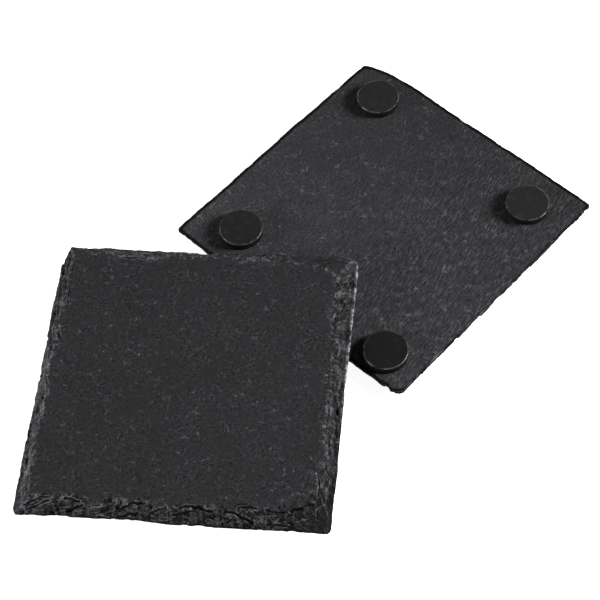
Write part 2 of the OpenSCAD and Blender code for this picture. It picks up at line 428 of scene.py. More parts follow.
def packed_heights(side, places):
    """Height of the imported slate's upper surface under each place, in its flat frame."""
    node = frame["nodes"][side + "_slate"]
    corners = [tuple(p) for p in flat_points(side + "_slate", side)]
    tree = BVHTree.FromPolygons(corners, [tuple(p.vertices) for p in node.data.polygons])
    drawn_in = places * (1 - RAY_INSET / np.maximum(np.hypot(*places.T), 1))[:, None]
    down = Vector((0, 0, -1))
    heights = np.full(len(places), float(SLATE_T))
    for i, (x, y) in enumerate(drawn_in):
        hit = tree.ray_cast(Vector((x, y, RAY_START)), down)[0]
        if hit is not None:
            heights[i] = hit.z
    return heights


top_heights = {side: packed_heights(side, places) for side, places in top_places.items()}
for side, heights in top_heights.items():
    print(side, "heights from", heights.min().round(2), "to", heights.max().round(2))

# %% [markdown]
# ### Splits
#
# A split starts at a ledge and runs a little way under the layer above it. From above it is a dark
# line, a hair to half a millimetre wide, and the stone outside it lies lower. Each is given as a
# line of points, distance along the edge and distance in. Those of the front edge are the ones
# that the photograph shows. The other edges show only a texture, so theirs are drawn at random.

# %% Splits
FRONT_SPLITS = [
    # depth of the groove, drop of the stone outside it, points
    (0.5, 0.35, [(2.2, 2.2), (6, 3.9), (9, 4.9), (13, 5.3)]),
    (0.45, 0.45, [(3.2, 0.8), (7, 2.2), (10, 3.6), (13.2, 4.8)]),
    (0.6, 0.5, [(15.5, 5.3), (19, 5.1), (22.5, 4.2)]),
    (0.8, 0.7, [(16.4, 1.1), (18.5, 2.3), (21, 3.0), (23.6, 3.5)]),
    (0.35, 0.3, [(23.6, 3.2), (26.5, 3.3), (29, 3.8)]),
    (0.6, 0.3, [(26.6, 0.9), (29, 0.7), (31.6, 0.4)]),
    (0.8, 0.7, [(32, 0.7), (35.2, 1.9), (38, 2.1), (41, 2.9)]),
    (0.6, 0.5, [(33.5, 3.5), (37.7, 4.6), (42.4, 5.8)]),
    (0.4, 0.35, [(42.5, 2.2), (46, 3.2), (50, 4.4)]),
    (0.6, 0.5, [(49.5, 2.4), (53, 3.2), (58, 4.2)]),
    (0.7, 0.5, [(51.2, 3.8), (55, 4.9), (58.6, 5.2), (61, 4.5), (65, 4.0)]),
    (0.9, 0.7, [(65.5, 3.8), (70.5, 3.6), (74, 2.6), (77.4, 1.4)]),
    (0.6, 0.4, [(70, 5.2), (74.5, 5.7), (78, 5.2)]),
    (0.45, 0.3, [(79, 1.8), (83.2, 1.8), (88.6, 1.2)]),
    (0.5, 0.4, [(79, 5.5), (83, 5.3), (86.5, 5.4)]),
    (0.8, 0.6, [(86, 5.4), (89.5, 7.0), (92, 8.2), (95.5, 9.0)]),
]
SPLIT_SEEDS = {"upright": 300, "upturned": 320}
SPLIT_COUNTS = per_edge(16, 4, 4, 4)
SPLIT_POINTS = 5
SPLIT_LENGTHS = (4, 13)
SPLIT_SLANT = 0.22
SPLIT_BOWS = (-0.3, 0.7)
SPLIT_GROOVES = (0.2, 0.6)
SPLIT_DROPS = (0.15, 0.5)
CLEAR_OF_CORNER, CLEAR_OF_RIM, LEAST_INWARD = 2, 0.6, 0.3
CHIP_REACHES = {"upright": per_edge(5.4, 6.2, 5.4, 5.2), "upturned": per_edge(5.5, 5.5, 5.5, 5.5)}


def random_splits(edge, seed, reach):
    draw = np.random.default_rng(seed)
    across = np.linspace(-1, 1, SPLIT_POINTS)
    splits = []
    for _ in range(SPLIT_COUNTS[edge]):
        middle = draw.uniform(CLEAR_OF_CORNER, SLATE_SIDE - CLEAR_OF_CORNER)
        along = middle + across / 2 * draw.uniform(*SPLIT_LENGTHS)
        inward = draw.uniform(CLEAR_OF_RIM, reach + CLEAR_OF_RIM)
        slant = draw.uniform(-1, 1) * SPLIT_SLANT
        bow = draw.uniform(*SPLIT_BOWS) * (1 - across**2)
        into = np.maximum(inward + slant * (along - middle) + bow, LEAST_INWARD)
        drop = draw.uniform(*SPLIT_DROPS)
        splits.append((draw.uniform(*SPLIT_GROOVES), drop, list(zip(along, into))))
    return splits


edge_splits = {
    side: {
        edge: random_splits(edge, seed + k, CHIP_REACHES[side][edge])
        for k, edge in enumerate(EDGES)
    }
    for side, seed in SPLIT_SEEDS.items()
}
edge_splits["upright"]["front"] = FRONT_SPLITS
print("splits", {s: sum(map(len, e.values())) for s, e in edge_splits.items()})

# %% [markdown]
# ### Thin layers and facets
#
# A layer is a gentle tread and a steep riser, made by rounding the height to whole layers and
# easing the steps, with noise under it so that the layers run out at ragged lines. A facet is a
# patch of stone that broke along a plane of its own: the points nearest to one of many scattered
# seeds all move by that seed's tilt.

# %% Layers and facets
LAYER = 0.62
LAYER_WARP, WARP_CELL = 0.75, 4
LAYER_SHARE = 0.75
RISER = (0.5, 0.85)
FACETS = (
    # distance between seeds, stretch along the edge, step, tilt
    (3.4, 1.6, 0.18, 0.12),
    (1.5, 1.3, 0.1, 0.14),
)
FACETS_FROM = 0.1


def layered(z, x, y, seed):
    """Steps the slope in thin layers with ragged ends."""
    warp = LAYER_WARP * octaves(x, y, WARP_CELL, seed, 3)
    level = (z + warp) / LAYER
    step = np.floor(level)
    eased = step + between(level - step, *RISER)
    return z + LAYER_SHARE * (eased * LAYER - warp - z)


def faceted(z, places, seed):
    """Breaks the slope into small tilted planes."""
    edge_is_side = np.abs(places[:, 0]) > np.abs(places[:, 1])
    for k, (gap, stretch, step, tilt) in enumerate(FACETS):
        draw = np.random.default_rng(seed + k)
        squeeze = np.where(edge_is_side[:, None], (1, 1 / stretch), (1 / stretch, 1))
        laid = places * squeeze
        count = round((SLATE_SIDE / gap) ** 2 / stretch)
        seeds = KDTree(count)
        for i, place in enumerate(draw.uniform(-HALF, HALF, (count, 2))):
            seeds.insert((*place, 0), i)
        seeds.balance()
        offsets = draw.uniform(-step, step, count)
        tilts = draw.normal(0, tilt, (count, 2))
        for i in np.flatnonzero(z < SLATE_T - FACETS_FROM):
            place, cell, _ = seeds.find((*laid[i], 0))
            z[i] += offsets[cell] + tilts[cell] @ (laid[i] - place[:2])
    return z


print("facets", [round((SLATE_SIDE / gap) ** 2 / stretch) for gap, stretch, *_ in FACETS])

# %% [markdown]
# ### Cutting the splits
#
# A split is a groove with lower stone outside it. Its line wavers a little, and it fades out at
# both ends. How deep a point lies in a groove is kept, since the finish paints the splits black as
# painted shade.

# %% Grooves
# Size of a waver, its strength, the end of the line that picks its table, and how many there are
WAVERS = ((1.6, 0.22, 0, 997), (0.6, 0.12, -1, 991))
GROOVE_WIDTH = 0.26
GROOVE_MASK_WIDTH = 2.1
SPLIT_TAPER = 0.3
DROP_SHARE, DROP_EASE, DROP_RUN = 0.85, 0.3, 2.4


def beside(line, along, inward, waver=0):
    """How far points lie outside a line on an edge, and how far from it."""
    s, d = np.array(line).T
    outside = np.interp(along, s, d) + waver - inward
    slope = np.interp(along, s, np.gradient(d, s))
    return outside, np.abs(outside) / np.sqrt(1 + slope**2)


def split_cut(z, along, inward, split):
    """Height after one split, and how much each point lies in its groove."""
    groove, drop, line = split
    start, end = line[0][0], line[-1][0]
    waver = sum(
        depth * lattice(along, along * 0, cell, int(1000 * line[which][0]) % tables)
        for cell, depth, which, tables in WAVERS
    )
    outside, away = beside(line, along, inward, waver)
    reach = (end - start) / 2
    from_middle = np.abs(along - (start + end) / 2)
    taper = smooth((reach - from_middle) / (SPLIT_TAPER * reach))
    width = GROOVE_WIDTH * (0.7 + 0.6 * groove)
    in_groove = taper * np.exp(-((away / width) ** 2))
    mask = taper * np.exp(-((away / (GROOVE_MASK_WIDTH * width)) ** 2)) * min(1, 0.7 + groove / 2)
    lowered = DROP_SHARE * taper * drop * between(outside, 0, DROP_EASE)
    lowered *= np.clip(1 - outside / DROP_RUN, 0, 1)
    return z - lowered - groove * in_groove, mask


print("deepest groove of the front edge", max(groove for groove, *_ in FRONT_SPLITS), "mm")

# %% [markdown]
# ### Bites
#
# The border of the top face isn't a clean line. Shells have come off it, each a shallow bowl that
# is longer along the edge than across it. A boolean with many small bodies would cut them too, but
# lowering the points of the grid is quicker, and always leaves the mesh closed.

# %% Bites
BITES = 130
BITTEN_BAND = (0.05, 0.5)
BITE_RADII = (0.6, 1.9)
BITE_DEPTHS = (0.15, 0.5)
BITE_STRETCHES = (1, 2.2)
BITE_TURN = 0.6


def bitten(z, places, seed):
    """Cuts shallow bowls at the border of the top face."""
    draw = np.random.default_rng(seed)
    border = np.flatnonzero((z > SLATE_T - BITTEN_BAND[1]) & (z < SLATE_T - BITTEN_BAND[0]))
    for centre in places[draw.choice(border, BITES)]:
        radius, depth = draw.uniform(*BITE_RADII), draw.uniform(*BITE_DEPTHS)
        stretch, turn = draw.uniform(*BITE_STRETCHES), draw.uniform(-BITE_TURN, BITE_TURN)
        if np.abs(centre[0]) > np.abs(centre[1]):
            turn += math.pi / 2
        gap = places - centre
        u = (gap[:, 0] * math.cos(turn) + gap[:, 1] * math.sin(turn)) / stretch
        v = gap[:, 1] * math.cos(turn) - gap[:, 0] * math.sin(turn)
        share = np.hypot(u, v) / radius
        near = share < 1
        z[near] = np.minimum(z[near], SLATE_T - depth * (1 - share[near] ** 3))
    return z


print("bites on each slate", BITES)

# %% [markdown]
# ### The whole top
#
# The four edges didn't break alike: on the face-up slate the front one is the roughest, and the
# rear one is nearly smooth, as is the large flake at the front right corner, whose inner part still
# looks like the top face. After the layers, facets, splits and bites, noise adds lumps and crumbs
# to the broken stone and a slight swell to the split face.

# %% Chipped tops
TOP_SEEDS = {"upright": 400, "upturned": 500}
ROUGHNESS = {"upright": per_edge(1.0, 0.5, 0.3, 0.6), "upturned": per_edge(0.8, 0.8, 0.8, 0.8)}
LEAST_RIM = 0.3
SLOPE_FROM, SLOPE_RUN = 0.02, 0.1
BROKEN_FROM, BROKEN_RUN = 0.05, 0.3
LUMP, LUMP_DEPTH = 1.7, 0.14
CRUMB, CRUMB_DEPTH = 0.5, 0.07
SWELL, SWELL_DEPTH = 17, 0.05
FLAKE_REACH = (6, 12)
# The line above which the flake still looks like the top face, and where it starts and ends
FLAKE_LINE = ([26, 36, 39.5, 42, 45.5], [5.0, 5.4, 7.0, 8.2, 9.4])
FLAKE_START, FLAKE_END = (26, 29), (44, 42.5)


def calm_of(side, places):
    """0 on the face of the large flake, and 1 away from it."""
    if side == "upturned":
        return np.ones(len(places))
    return between(np.hypot(places[:, 0] - HALF, places[:, 1] + HALF), *FLAKE_REACH)


def chipped(side, seed):
    """Finished heights of a slate's upper surface, and how it broke."""
    places, packed = top_places[side], top_heights[side]
    x, y = places.T
    rugged = by_edge(places, ROUGHNESS[side]) * (0.3 + 0.7 * calm_of(side, places))
    slope = smooth((SLATE_T - SLOPE_FROM - packed) / SLOPE_RUN)
    z = packed + slope * (layered(packed, x, y, seed) - packed)
    z = faceted(z, places, seed + 50)
    z = packed + rugged * (z - packed)
    split = np.zeros(len(z))
    for edge in EDGES:
        along, inward = on_edge(places, edge)
        for line in edge_splits[side][edge]:
            z, groove = split_cut(z, along, inward, line)
            split = np.maximum(split, groove)
    z = bitten(z, places, seed + 10)
    broken = smooth((SLATE_T - BROKEN_FROM - z) / BROKEN_RUN)
    if side == "upright":
        above_line = between(y + HALF - np.interp(x, *FLAKE_LINE), 0, 0.6)
        broken *= 1 - above_line * between(x, *FLAKE_START) * between(x, *FLAKE_END)
    z -= broken * rugged * LUMP_DEPTH * np.abs(octaves(x, y, LUMP, seed + 20))
    z -= broken * (0.3 + 0.7 * rugged) * CRUMB_DEPTH * np.abs(lattice(x, y, CRUMB, seed + 30))
    z -= (1 - broken) * SWELL_DEPTH * (1 + octaves(x, y, SWELL, seed + 40)) / 2
    masks = {"chipped": broken, "split": split, "rugged": rugged}
    return np.clip(z, LEAST_RIM, SLATE_T), masks


shaped = {side: chipped(side, seed) for side, seed in TOP_SEEDS.items()}
for side, (heights, masks) in shaped.items():
    print(side, "share of the top that is chipped", masks["chipped"].mean().round(3))

# %% [markdown]
# ### Masks for the finish
#
# Wear and light fall differently on each edge, and the finish paints both into the colour. The left
# edge of the face-up slate is paler, partly as crushed stone and partly as painted light, its right
# rim gets a painted highlight, and a light line of crushed grain crosses its rear edge. Each edge's
# broken stone gets its own tone, painted shade on the front and right edges and painted light on the
# rear one, and the sides get a painted shade. Such things belong to the finish, but where they lie
# is known here, so each is stored with the mesh as a number for each point. The finish reads them by
# name.

# %% Masks of the tops
BORDER_DEPTH, BORDER_BAND, BORDER_REACH = 0.2, 0.16, 0.9
SCUFF = [
    (4.5, 11.6), (7, 9.0), (14.1, 5.1), (22.5, 4.0), (32, 3.2), (42.1, 3.1), (51, 5.2), (60, 4.6),
]
SCUFF_WIDTH = 0.55
SCUFF_START, SCUFF_END = (4.5, 7.5), (60, 54)
# How pale each edge's broken stone is: crushed stone, and on the left edge partly painted light
PALE_AND_LIT = per_edge(0.1, 0.0, 0.05, 1.0)
# How dark each edge's broken stone is: painted shade on the front and right edges, painted light on
# the rear
EDGE_SHADES = per_edge(0.45, 0.6, 1.1, 1.0)
# How much painted shade each edge's sides and the outline of its top get
PAINTED_SIDE_SHADE = {"upright": per_edge(1.0, 0.4, 1.0, 0.3), "upturned": per_edge(1.0, 1.0, 1.0, 1.0)}
# How strong the painted highlight along each edge's rim is
RIM_HIGHLIGHT = {"upright": per_edge(0.1, 1.0, 0.0, 0.3), "upturned": per_edge(0.0, 0.0, 0.0, 0.0)}
# Darker towards the right end of the front edge, and darker and less pale towards the rear of the
# left edge
DARKER_FRONT_RIGHT, DARKER_REAR_LEFT, LESS_PALE_REAR_LEFT = 0.25, 0.4, 0.7
RIM_START, RIM_WIDTH = 0.2, 0.4
SHADE_START, SHADE_WIDTH = 0.1, 0.3


def border_of(packed, places):
    """1 along the border of the top face, and 0 away from it."""
    line = np.flatnonzero(np.abs(packed - (SLATE_T - BORDER_DEPTH)) < BORDER_BAND)
    tree = KDTree(len(line))
    for i in line:
        tree.insert((*places[i], 0), i)
    tree.balance()
    near = np.flatnonzero(least_inward(places) < WIDE_REACH)
    away = np.array([tree.find((*places[i], 0))[2] for i in near])
    border = np.zeros(len(places))
    border[near] = np.exp(-((away / BORDER_REACH) ** 2))
    return border


def scuffed(side, places):
    """1 on the light line across the face-up slate's rear edge, and 0 away from it."""
    if side == "upturned":
        return np.zeros(len(places))
    along, inward = on_edge(places, "rear")
    line = np.exp(-((beside(SCUFF, along, inward)[1] / SCUFF_WIDTH) ** 2))
    return line * between(along, *SCUFF_START) * between(along, *SCUFF_END)


def top_masks(side):
    """Where a slate's top is bright, pale or dark."""
    places, inward = top_places[side], least_inward(top_places[side])
    x, y = places.T
    worn = border_of(top_heights[side], places) * (0.25 + 0.75 * calm_of(side, places))
    # A painted highlight along the rim, strongest on the edge that faces the key light
    rim = np.exp(-((np.maximum(inward - RIM_START, 0) / RIM_WIDTH) ** 2)) * between(y, -14, -4)
    front_right = between(x, -5, 15) * between(y, -30, -40)
    rear_left = between(y, 0, 35) * between(x, -40, -43)
    tone = by_edge(places, EDGE_SHADES) * (1 - DARKER_FRONT_RIGHT * front_right)
    # Painted shade, strongest at the outline and fading inwards
    shade = np.exp(-np.maximum(inward - SHADE_START, 0) / SHADE_WIDTH)
    return {
        "rim": rim * by_edge(places, RIM_HIGHLIGHT[side]),
        "border": np.maximum(worn, scuffed(side, places)),
        "pale": by_edge(places, PALE_AND_LIT) * (1 - LESS_PALE_REAR_LEFT * rear_left),
        "tone": tone * (1 - DARKER_REAR_LEFT * rear_left),
        "shade": by_edge(places, PAINTED_SIDE_SHADE[side]) * shade,
    }


for side, (heights, masks) in shaped.items():
    masks.update(top_masks(side))
    print(side, "masks", sorted(masks))

# %% [markdown]
# ## The underside
#
# The underside is a plain cleavage face: nearly flat, with the faint waves and shallow steps of a
# split, and flat under the feet, which must stick. Where a crumb has come off its rim, a small
# pale crescent shows.

# %% Underside
WAVE, WAVE_DEPTH = 24, 0.07
STEP, STEP_DEPTH = 30, 0.05
RIPPLE, RIPPLE_DEPTH = 2.2, 0.02
FOOT_CLEAR = (8, 11)
RIM_CHIPS = per_edge(3, 17, 5, 3)
RIM_CHIP_HALF_LENGTHS = (0.8, 3.6)
RIM_CHIP_WIDTHS = (0.25, 0.9)
RIM_CHIP_DEPTH = 0.45
RIM_CHIPS_WITHIN = 1.5


def foot_centres(side):
    names = [n for n in frame["nodes"] if n.startswith(side + "_foot_")]
    boxes = [flat_points(n, side) for n in names]
    return {n: (b.min(0) + b.max(0)) / 2 for n, b in zip(names, boxes)}


def riven(places, centres, seed):
    """Heights of the underside: never below zero, and flat under the feet."""
    x, y = places.T
    waves = (1 + octaves(x, y, WAVE, seed)) / 2
    wander = octaves(x, y, 9, seed + 10)
    steps = smooth((octaves(x, y, STEP, seed + 20) + 0.25 * wander) * 9 + 0.5)
    ripples = np.abs(octaves(x, y, RIPPLE, seed + 30))
    relief = WAVE_DEPTH * waves + STEP_DEPTH * steps + RIPPLE_DEPTH * ripples
    for centre in centres.values():
        relief *= between(np.hypot(x - centre[0], y - centre[1]), *FOOT_CLEAR)
    return relief


def rim_chips(sheet_points, seed):
    """Small chips off the rim of the underside: their depth, and 1 where the stone is fresh."""
    draw = np.random.default_rng(seed)
    reach = (1 - np.abs(sheet_points).max(1)) * HALF
    along = round_place(np.column_stack([sheet_points * HALF, np.zeros(len(reach))]))
    depth, fresh = np.zeros(len(reach)), np.zeros(len(reach))
    near = np.flatnonzero(reach < RIM_CHIPS_WITHIN)
    x, y = along[near, 0], along[near, 1]
    edges = np.repeat(np.arange(4), list(RIM_CHIPS.values()))
    for angle in (edges + draw.uniform(0.03, 0.97, len(edges))) * math.pi / 2:
        half_length = draw.uniform(*RIM_CHIP_HALF_LENGTHS)
        width = draw.uniform(*RIM_CHIP_WIDTHS)
        gap = np.hypot(x - RING_R * math.cos(angle), y - RING_R * math.sin(angle))
        bow = np.clip(1 - (gap / half_length) ** 2, 0, 1)
        share = np.clip(1 - reach[near] / (width * bow + TINY), 0, 1)
        depth[near] = np.maximum(depth[near], RIM_CHIP_DEPTH * share * bow)
        fresh[near] = np.maximum(fresh[near], between(share, 0, 1 / 6))
    return depth, fresh


print("chips off each rim", sum(RIM_CHIPS.values()))

# %% [markdown]
# ## One closed skin
#
# The side between top and underside is a millimetre of broken stone. Its rows of points step in and
# out a little, and the outline that all three share closes the skin. A slate that is closed can be
# weighed, printed or cut like the real one, which three separate sheets can't.

# %% Skin
SIDE_ROWS = 3
SIDE_ROUGHNESS, SIDE_CELL = 0.14, 0.9
OUTLINE_POINTS = 4 * EDGE_CELLS


def skin(side, seed):
    """All points and faces of a slate, top first and underside last, and its fresh rim chips."""
    n = OUTLINE_POINTS
    places, heights = top_places[side], shaped[side][0]
    under_places = fitted(side, under_sheet[0], outlines[side], seed)
    under_places[:n] = places[:n]
    relief = riven(under_places, foot_centres(side), seed + 100)
    relief[:n] = 0
    chip, fresh = rim_chips(under_sheet[0], seed + 150)
    relief = np.maximum(relief, chip)
    relief[:n] = np.minimum(relief[:n], 0.6 * heights[:n])
    top = np.column_stack([places, heights])
    rows = []
    for k in range(1, SIDE_ROWS + 1):
        row = top[:n].copy()
        row[:, 2] *= k / (SIDE_ROWS + 1)
        ragged = np.abs(lattice(row[:, 0] + 31 * k, row[:, 1], SIDE_CELL, seed + 200 + k))
        row[:, :2] *= (1 - SIDE_ROUGHNESS * ragged / HALF)[:, None]
        rows.append(row)
    points = np.concatenate([top, *rows, np.column_stack([under_places, relief])])
    faces = [tuple(f) for f in top_sheet[1]]
    first_under = len(top) + SIDE_ROWS * n
    rings = [0] + [len(top) + k * n for k in reversed(range(SIDE_ROWS))] + [first_under]
    for upper, lower in zip(rings, rings[1:]):
        faces += [
            (lower + i, lower + (i + 1) % n, upper + (i + 1) % n, upper + i) for i in range(n)
        ]
    faces += [tuple(first_under + v for v in reversed(f)) for f in under_sheet[1]]
    return points, faces, fresh


def ridge_of(points, faces):
    """How far each point of the top stands over its neighbours: ridges above zero."""
    pairs = np.array([(a, b) for f in faces for a, b in zip(f, (*f[1:], f[0]))])
    total, count = np.zeros(len(points)), np.zeros(len(points))
    for a, b in ((0, 1), (1, 0)):
        np.add.at(total, pairs[:, a], points[pairs[:, b], 2])
        np.add.at(count, pairs[:, a], 1)
    ridge = points[:, 2] - total / count
    ridge[:OUTLINE_POINTS] = 0
    ridge[len(top_sheet[0]) :] = 0
    return ridge


print("rows of points on the sides", SIDE_ROWS)

# %% [markdown]
# ## The slates
#
# The masks of the top run down the sides, and the underside has its own: where it is streaked by
# the split, and a dark line of painted shade round its rim. Each slate then takes the packed one's
# place and rides on the same body, so that it moves with its coaster.

# %% Slate pieces
SKIN_SEEDS = {"upright": 700, "upturned": 800}
STREAKY = (-28, 22)
# How far in from the rim the underside's painted shade reaches, on each edge
RIM_SHADE_WITHIN = per_edge(1.4, 0.85, 1.3, 1.4)
RIM_SHADE_EASE, RIM_SHADE_SHARE = 0.5, 0.95


def skin_masks(side, under_places, fresh):
    """The masks of a whole slate, from those of its top and its underside."""
    n, top = OUTLINE_POINTS, shaped[side][1]
    from_rim = (1 - np.abs(under_sheet[0]).max(1)) * HALF
    within = by_edge(under_places, RIM_SHADE_WITHIN)
    painted_rim_shade = between(from_rim, within, within - RIM_SHADE_EASE)
    under = {
        "underside": np.ones(len(fresh)),
        "fresh": fresh,
        "streaky": between(under_places[:, 0], *STREAKY),
        # The underside is lighter towards +Y and darker towards -Y
        "tone": 0.95 + 0.2 * under_places[:, 1] / HALF,
        "shade": RIM_SHADE_SHARE * painted_rim_shade * (1 - 0.7 * fresh),
    }
    whole = {}
    for name in {**top, **under}:
        over = top.get(name, np.zeros(len(top_sheet[0])))
        sides = by_edge(top_places[side][:n], PAINTED_SIDE_SHADE[side]) if name == "shade" else over[:n]
        below = under.get(name, np.zeros(len(fresh)))
        whole[name] = np.concatenate([over, np.tile(sides, SIDE_ROWS), below])
    return whole


def mesh_piece(name, points, faces, matrix, masks):
    """A smooth piece from points in a slate's flat frame, with its masks."""
    mesh = bpy.data.meshes.new(name)
    world = np.array(matrix)
    mesh.from_pydata(points @ world[:3, :3].T + world[:3, 3], [], faces)
    mesh.validate()
    for mask, values in masks.items():
        kind, field = ("FLOAT_VECTOR", "vector") if np.ndim(values) == 2 else ("FLOAT", "value")
        layer = mesh.attributes.new(mask, kind, "POINT")
        layer.data.foreach_set(field, np.asarray(values, np.float32).ravel())
    for polygon in mesh.polygons:
        polygon.use_smooth = True
    return placed(name, mesh)


slates = {}
for side, seed in SKIN_SEEDS.items():
    points, faces, fresh = skin(side, seed)
    masks = skin_masks(side, points[-len(fresh) :, :2], fresh)
    masks["ridge"] = ridge_of(points, faces)
    masks["flat_place"], masks["round_place"] = points, round_place(points)
    slates[side] = mesh_piece(side + "_slate_stone", points, faces, slate_frames[side], masks)
    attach(slates[side], side + "_coaster")
    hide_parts(side + "_slate")
    print(slates[side].name, len(points), "points", len(faces), "faces")

# %% [markdown]
# ## The foam feet
#
# A foot is a disc punched out of foam sheet. The punch leaves its standing face very slightly
# dished, with a fine lip round it, and draws the side in at mid height. A disc could be a cylinder
# with modifiers, but turning a profile in code gives the lip exactly. A little noise keeps the foam
# from looking machined.

# %% Foam disc
FOOT_R = 7.5
FOOT_T = 3.0
ADHESIVE_T = 0.2
TURNS = 120
FOAM_GRAIN, FOAM_UNEVEN = 1.4, 6
FOOT_PROFILE = [
    # distance from the axis, height over the standing face; the glued face is at the end
    (0.0, 0.07), (1.5, 0.07), (3.0, 0.07), (4.5, 0.065), (5.8, 0.06), (6.4, 0.05), (6.75, 0.06),
    (6.95, 0.045), (7.1, 0.015), (7.22, 0.0), (7.32, 0.02), (7.39, 0.07), (7.44, 0.16),
    (7.47, 0.28), (7.49, 0.45), (7.48, 0.8), (7.45, 1.2), (7.43, 1.6), (7.44, 2.0), (7.47, 2.4),
    (7.49, 2.7), (7.47, 2.9), (7.4, 2.98), (7.2, 3.0), (6.0, 3.0), (3.0, 3.0), (0.0, 3.0),
]


def turned(profile, centre, seed):
    """Points and faces of a turned disc on the slate's underside, standing face down."""
    angle = np.arange(TURNS) * 2 * math.pi / TURNS
    points, faces = [], []
    for k, (r, z) in enumerate(profile[1:-1]):
        points.append(np.column_stack([r * np.cos(angle), r * np.sin(angle), np.full(TURNS, z)]))
        a, b = (k - 1) * TURNS, k * TURNS
        for i in range(TURNS if k else 0):
            faces.append((a + i, b + i, b + (i + 1) % TURNS, a + (i + 1) % TURNS))
    points = np.concatenate([*points, [(0, 0, profile[0][1])], [(0, 0, profile[-1][1])]])
    first, last, rim = len(points) - 2, len(points) - 1, (len(profile) - 3) * TURNS
    for i in range(TURNS):
        j = (i + 1) % TURNS
        faces += [(first, i, j), (last, rim + j, rim + i)]
    x, y, z = points.T
    grain = np.abs(octaves(x + 5 * z, y + 3 * z, FOAM_GRAIN, seed))
    uneven = (1 + octaves(x, y, FOAM_UNEVEN, seed + 5)) / 2 * between(np.hypot(x, y), 5, 7)
    points[:, :2] *= (1 - (0.05 * grain + 0.1 * uneven) / FOOT_R)[:, None]
    points[:, 2] += (0.03 * grain + 0.08 * uneven) * (z < 0.5 * FOOT_T)
    points += (centre[0], centre[1], -ADHESIVE_T - FOOT_T)
    return points, [tuple(reversed(f)) for f in faces]


print("points in the profile of a foot", len(FOOT_PROFILE))

# %% [markdown]
# ### Eight feet
#
# Each foot stands where the imported one does, and rides on the same body. The photograph shows the
# foot nearest to the camera as the darkest, and the sides are made darker than the faces as painted
# shade, so each point has a tone that carries both. The feet are soft.

# %% Foam feet
FOOT_SEED = 40
LIP_AWAY, LIP_ABOVE = (6.92, 7.17), (0.55, 0.3)
FOOT_TONES = {"upturned_foot_front": 0.5, "upturned_foot_left": 0.85}
# How dark the sides of a foot are made, as painted shade
SIDE_ABOVE, SIDE_SHADE = (0.3, 0.5), 0.25

feet = []
for side, matrix in slate_frames.items():
    for count, (node, centre) in enumerate(sorted(foot_centres(side).items())):
        points, faces = turned(FOOT_PROFILE, centre, FOOT_SEED + count)
        above = points[:, 2] + ADHESIVE_T + FOOT_T
        away = np.hypot(points[:, 0] - centre[0], points[:, 1] - centre[1])
        on_side = between(above, *SIDE_ABOVE)
        masks = {
            "flat_place": points,
            "lip": between(away, *LIP_AWAY) * between(above, *LIP_ABOVE),
            "tone": FOOT_TONES.get(node, 1.0) * (1 - (1 - SIDE_SHADE) * on_side),
        }
        foot = mesh_piece(node + "_foam", points, faces, matrix, masks)
        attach(foot, side + "_coaster")
        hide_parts(node)
        feet.append(foot)
print(len(feet), "feet")

# %% [markdown]
# ## Writing a finish as sums
#
# A finish is a network of nodes, and most of it is arithmetic. A small class holds one socket and
# gives it Python's own operators, each of which adds a Math node, so that a mask can be written as
# it is thought of. Every other node comes from one method, which sets the node's own settings and
# then its sockets, by a value or a link.

# %% Sockets in sums
class Wire:
    """One socket of a node, usable in sums."""

    def __init__(self, finish, socket):
        self.finish = finish
        self.socket = socket

    def math(self, operation, *values):
        node = self.finish.add("ShaderNodeMath", {"operation": operation}, dict(enumerate(values)))
        return node["Value"]

    def __add__(self, other):
        return self.math("ADD", self, other)

    __radd__ = __add__

    def __sub__(self, other):
        return self.math("SUBTRACT", self, other)

    def __rsub__(self, other):
        return self.math("SUBTRACT", other, self)

    def __mul__(self, other):
        return self.math("MULTIPLY", self, other)

    __rmul__ = __mul__

    def __truediv__(self, other):
        return self.math("DIVIDE", self, other)

    def __rtruediv__(self, other):
        return self.math("DIVIDE", other, self)

    def __abs__(self):
        return self.math("ABSOLUTE", self)

    def between(self, low, high):
        """0 at low, 1 at high, and a smooth change between the two. Low may be the greater."""
        settings = {"interpolation_type": "SMOOTHSTEP", "clamp": True}
        inputs = {"Value": self, "From Min": low, "From Max": high}
        return self.finish.add("ShaderNodeMapRange", settings, inputs)["Result"]


class Node:
    """A node, whose outputs are found by name or number."""

    def __init__(self, finish, node):
        self.finish = finish
        self.node = node

    def __getitem__(self, output):
        return Wire(self.finish, self.node.outputs[output])


print("helpers", Wire.__name__, Node.__name__)

# %% [markdown]
# ### What stone and foam are drawn with
#
# Both are grey things with marks on them: noise, thin veins, round specks, and greys laid one over
# another. Those are made once here, as methods of a finish, so that the finishes below read as
# lists of what is seen.

